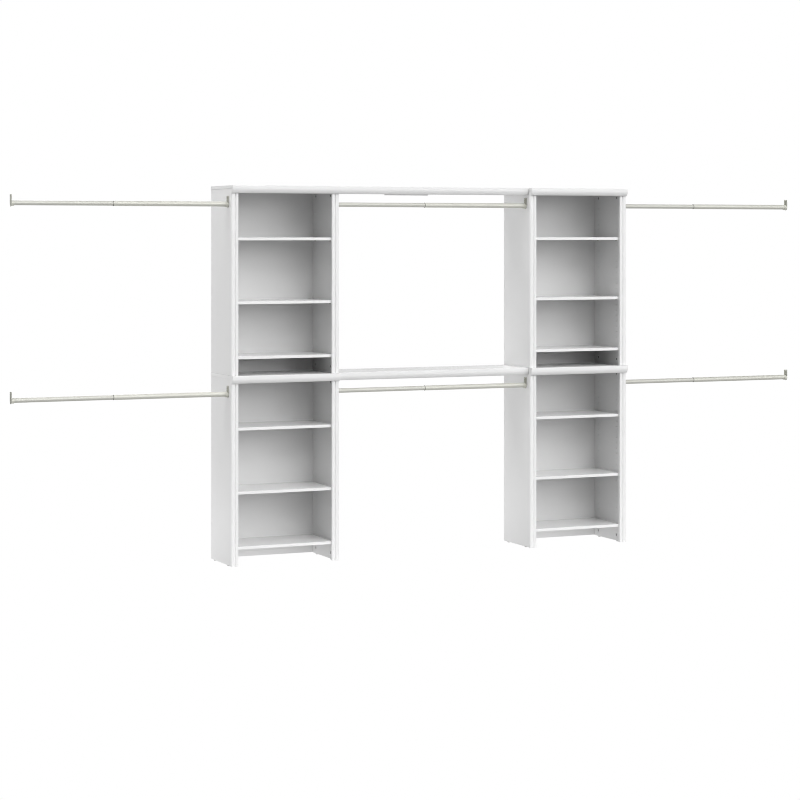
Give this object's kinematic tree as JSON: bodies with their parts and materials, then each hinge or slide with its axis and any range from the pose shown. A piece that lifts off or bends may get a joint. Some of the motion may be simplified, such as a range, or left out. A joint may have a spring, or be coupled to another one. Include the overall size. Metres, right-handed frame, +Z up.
{
  "type": "closet tower system",
  "caption": "Walk-in closet organiser in white laminate: shelf towers joined by bridge shelves, with telescoping hanging rods between the towers and out to the side walls.",
  "frame": {"origin": "on the floor, under the centre of the whole unit", "axes": "+X to the right along the wall seen from the room, +Y into the wall, +Z up"},
  "size_m": [4.851, 0.3704, 2.095],
  "materials": {
    "side_laminate": "satin white laminate",
    "shelf_laminate": "satin white laminate",
    "board_laminate": "satin white foil on a moulded edge",
    "backing_board": "matt white backing board",
    "cleat_laminate": "matt white",
    "nickel_tube": "satin nickel plated steel tube",
    "nickel_bracket": "satin nickel plated zinc"
  },
  "bodies": {
    "closet_frame": {"left_tower_lower_side_l": "side_laminate", "left_tower_lower_side_r": "side_laminate", "left_tower_lower_back": "backing_board", "left_tower_lower_base_shelf": "shelf_laminate", "left_tower_upper_side_l": "side_laminate", "left_tower_upper_side_r": "side_laminate", "left_tower_upper_back": "backing_board", "left_tower_upper_base_shelf": "shelf_laminate", "left_tower_mid_board": "board_laminate", "left_tower_top_board": "board_laminate", "right_tower_lower_side_l": "side_laminate", "right_tower_lower_side_r": "side_laminate", "right_tower_lower_back": "backing_board", "right_tower_lower_base_shelf": "shelf_laminate", "right_tower_upper_side_l": "side_laminate", "right_tower_upper_side_r": "side_laminate", "right_tower_upper_back": "backing_board", "right_tower_upper_base_shelf": "shelf_laminate", "right_tower_mid_board": "board_laminate", "right_tower_top_board": "board_laminate", "bridge_mid_shelf": "board_laminate", "bridge_mid_wall_cleat": "cleat_laminate", "bridge_mid_end_cleat_l": "cleat_laminate", "bridge_mid_end_cleat_r": "cleat_laminate", "bridge_top_shelf": "board_laminate", "bridge_top_wall_cleat": "cleat_laminate", "bridge_top_end_cleat_l": "cleat_laminate", "bridge_top_end_cleat_r": "cleat_laminate", "rod_left_lower_outer": "nickel_tube", "bracket_left_lower_r": "nickel_bracket", "rod_left_upper_outer": "nickel_tube", "bracket_left_upper_r": "nickel_bracket", "rod_middle_lower_outer": "nickel_tube", "bracket_middle_lower_l": "nickel_bracket", "bracket_middle_lower_r": "nickel_bracket", "rod_middle_upper_outer": "nickel_tube", "bracket_middle_upper_l": "nickel_bracket", "bracket_middle_upper_r": "nickel_bracket", "rod_right_lower_inner": "nickel_tube", "bracket_right_lower_l": "nickel_bracket", "rod_right_upper_inner": "nickel_tube", "bracket_right_upper_l": "nickel_bracket"},
    "left_lower_wall_end": {"rod_left_lower_inner": "nickel_tube", "bracket_left_lower_l": "nickel_bracket"},
    "left_upper_wall_end": {"rod_left_upper_inner": "nickel_tube", "bracket_left_upper_l": "nickel_bracket"},
    "middle_lower_inner_tube": {"rod_middle_lower_inner": "nickel_tube"},
    "middle_upper_inner_tube": {"rod_middle_upper_inner": "nickel_tube"},
    "right_lower_wall_end": {"rod_right_lower_outer": "nickel_tube", "bracket_right_lower_r": "nickel_bracket"},
    "right_upper_wall_end": {"rod_right_upper_outer": "nickel_tube", "bracket_right_upper_r": "nickel_bracket"},
    "left_tower_lower_shelf_1_body": {"left_tower_lower_shelf_1": "shelf_laminate"},
    "left_tower_lower_shelf_2_body": {"left_tower_lower_shelf_2": "shelf_laminate"},
    "left_tower_upper_shelf_1_body": {"left_tower_upper_shelf_1": "shelf_laminate"},
    "left_tower_upper_shelf_2_body": {"left_tower_upper_shelf_2": "shelf_laminate"},
    "right_tower_lower_shelf_1_body": {"right_tower_lower_shelf_1": "shelf_laminate"},
    "right_tower_lower_shelf_2_body": {"right_tower_lower_shelf_2": "shelf_laminate"},
    "right_tower_upper_shelf_1_body": {"right_tower_upper_shelf_1": "shelf_laminate"},
    "right_tower_upper_shelf_2_body": {"right_tower_upper_shelf_2": "shelf_laminate"}
  },
  "joints": [
    {"name": "rod_left_lower_extend", "type": "slide", "parent": "closet_frame", "child": "left_lower_wall_end", "axis": [1, 0, 0], "range_m": [-0.009, 0.538]},
    {"name": "rod_left_upper_extend", "type": "slide", "parent": "closet_frame", "child": "left_upper_wall_end", "axis": [1, 0, 0], "range_m": [-0.009, 0.538]},
    {"name": "rod_middle_lower_retract", "type": "slide", "parent": "closet_frame", "child": "middle_lower_inner_tube", "axis": [1, 0, 0], "range_m": [0, 0.53]},
    {"name": "rod_middle_upper_retract", "type": "slide", "parent": "closet_frame", "child": "middle_upper_inner_tube", "axis": [1, 0, 0], "range_m": [0, 0.53]},
    {"name": "rod_right_lower_extend", "type": "slide", "parent": "closet_frame", "child": "right_lower_wall_end", "axis": [1, 0, 0], "range_m": [-0.482, 0.06]},
    {"name": "rod_right_upper_extend", "type": "slide", "parent": "closet_frame", "child": "right_upper_wall_end", "axis": [1, 0, 0], "range_m": [-0.482, 0.06]},
    {"name": "left_lower_shelf_1_lift", "type": "slide", "parent": "closet_frame", "child": "left_tower_lower_shelf_1_body", "axis": [0, 0, 1], "range_m": [0, 0.192]},
    {"name": "left_lower_shelf_2_lift", "type": "slide", "parent": "closet_frame", "child": "left_tower_lower_shelf_2_body", "axis": [0, 0, 1], "range_m": [0, 0.192]},
    {"name": "left_upper_shelf_1_lift", "type": "slide", "parent": "closet_frame", "child": "left_tower_upper_shelf_1_body", "axis": [0, 0, 1], "range_m": [0, 0.192]},
    {"name": "left_upper_shelf_2_lift", "type": "slide", "parent": "closet_frame", "child": "left_tower_upper_shelf_2_body", "axis": [0, 0, 1], "range_m": [0, 0.192]},
    {"name": "right_lower_shelf_1_lift", "type": "slide", "parent": "closet_frame", "child": "right_tower_lower_shelf_1_body", "axis": [0, 0, 1], "range_m": [0, 0.192]},
    {"name": "right_lower_shelf_2_lift", "type": "slide", "parent": "closet_frame", "child": "right_tower_lower_shelf_2_body", "axis": [0, 0, 1], "range_m": [0, 0.192]},
    {"name": "right_upper_shelf_1_lift", "type": "slide", "parent": "closet_frame", "child": "right_tower_upper_shelf_1_body", "axis": [0, 0, 1], "range_m": [0, 0.192]},
    {"name": "right_upper_shelf_2_lift", "type": "slide", "parent": "closet_frame", "child": "right_tower_upper_shelf_2_body", "axis": [0, 0, 1], "range_m": [0, 0.192]}
  ]
}
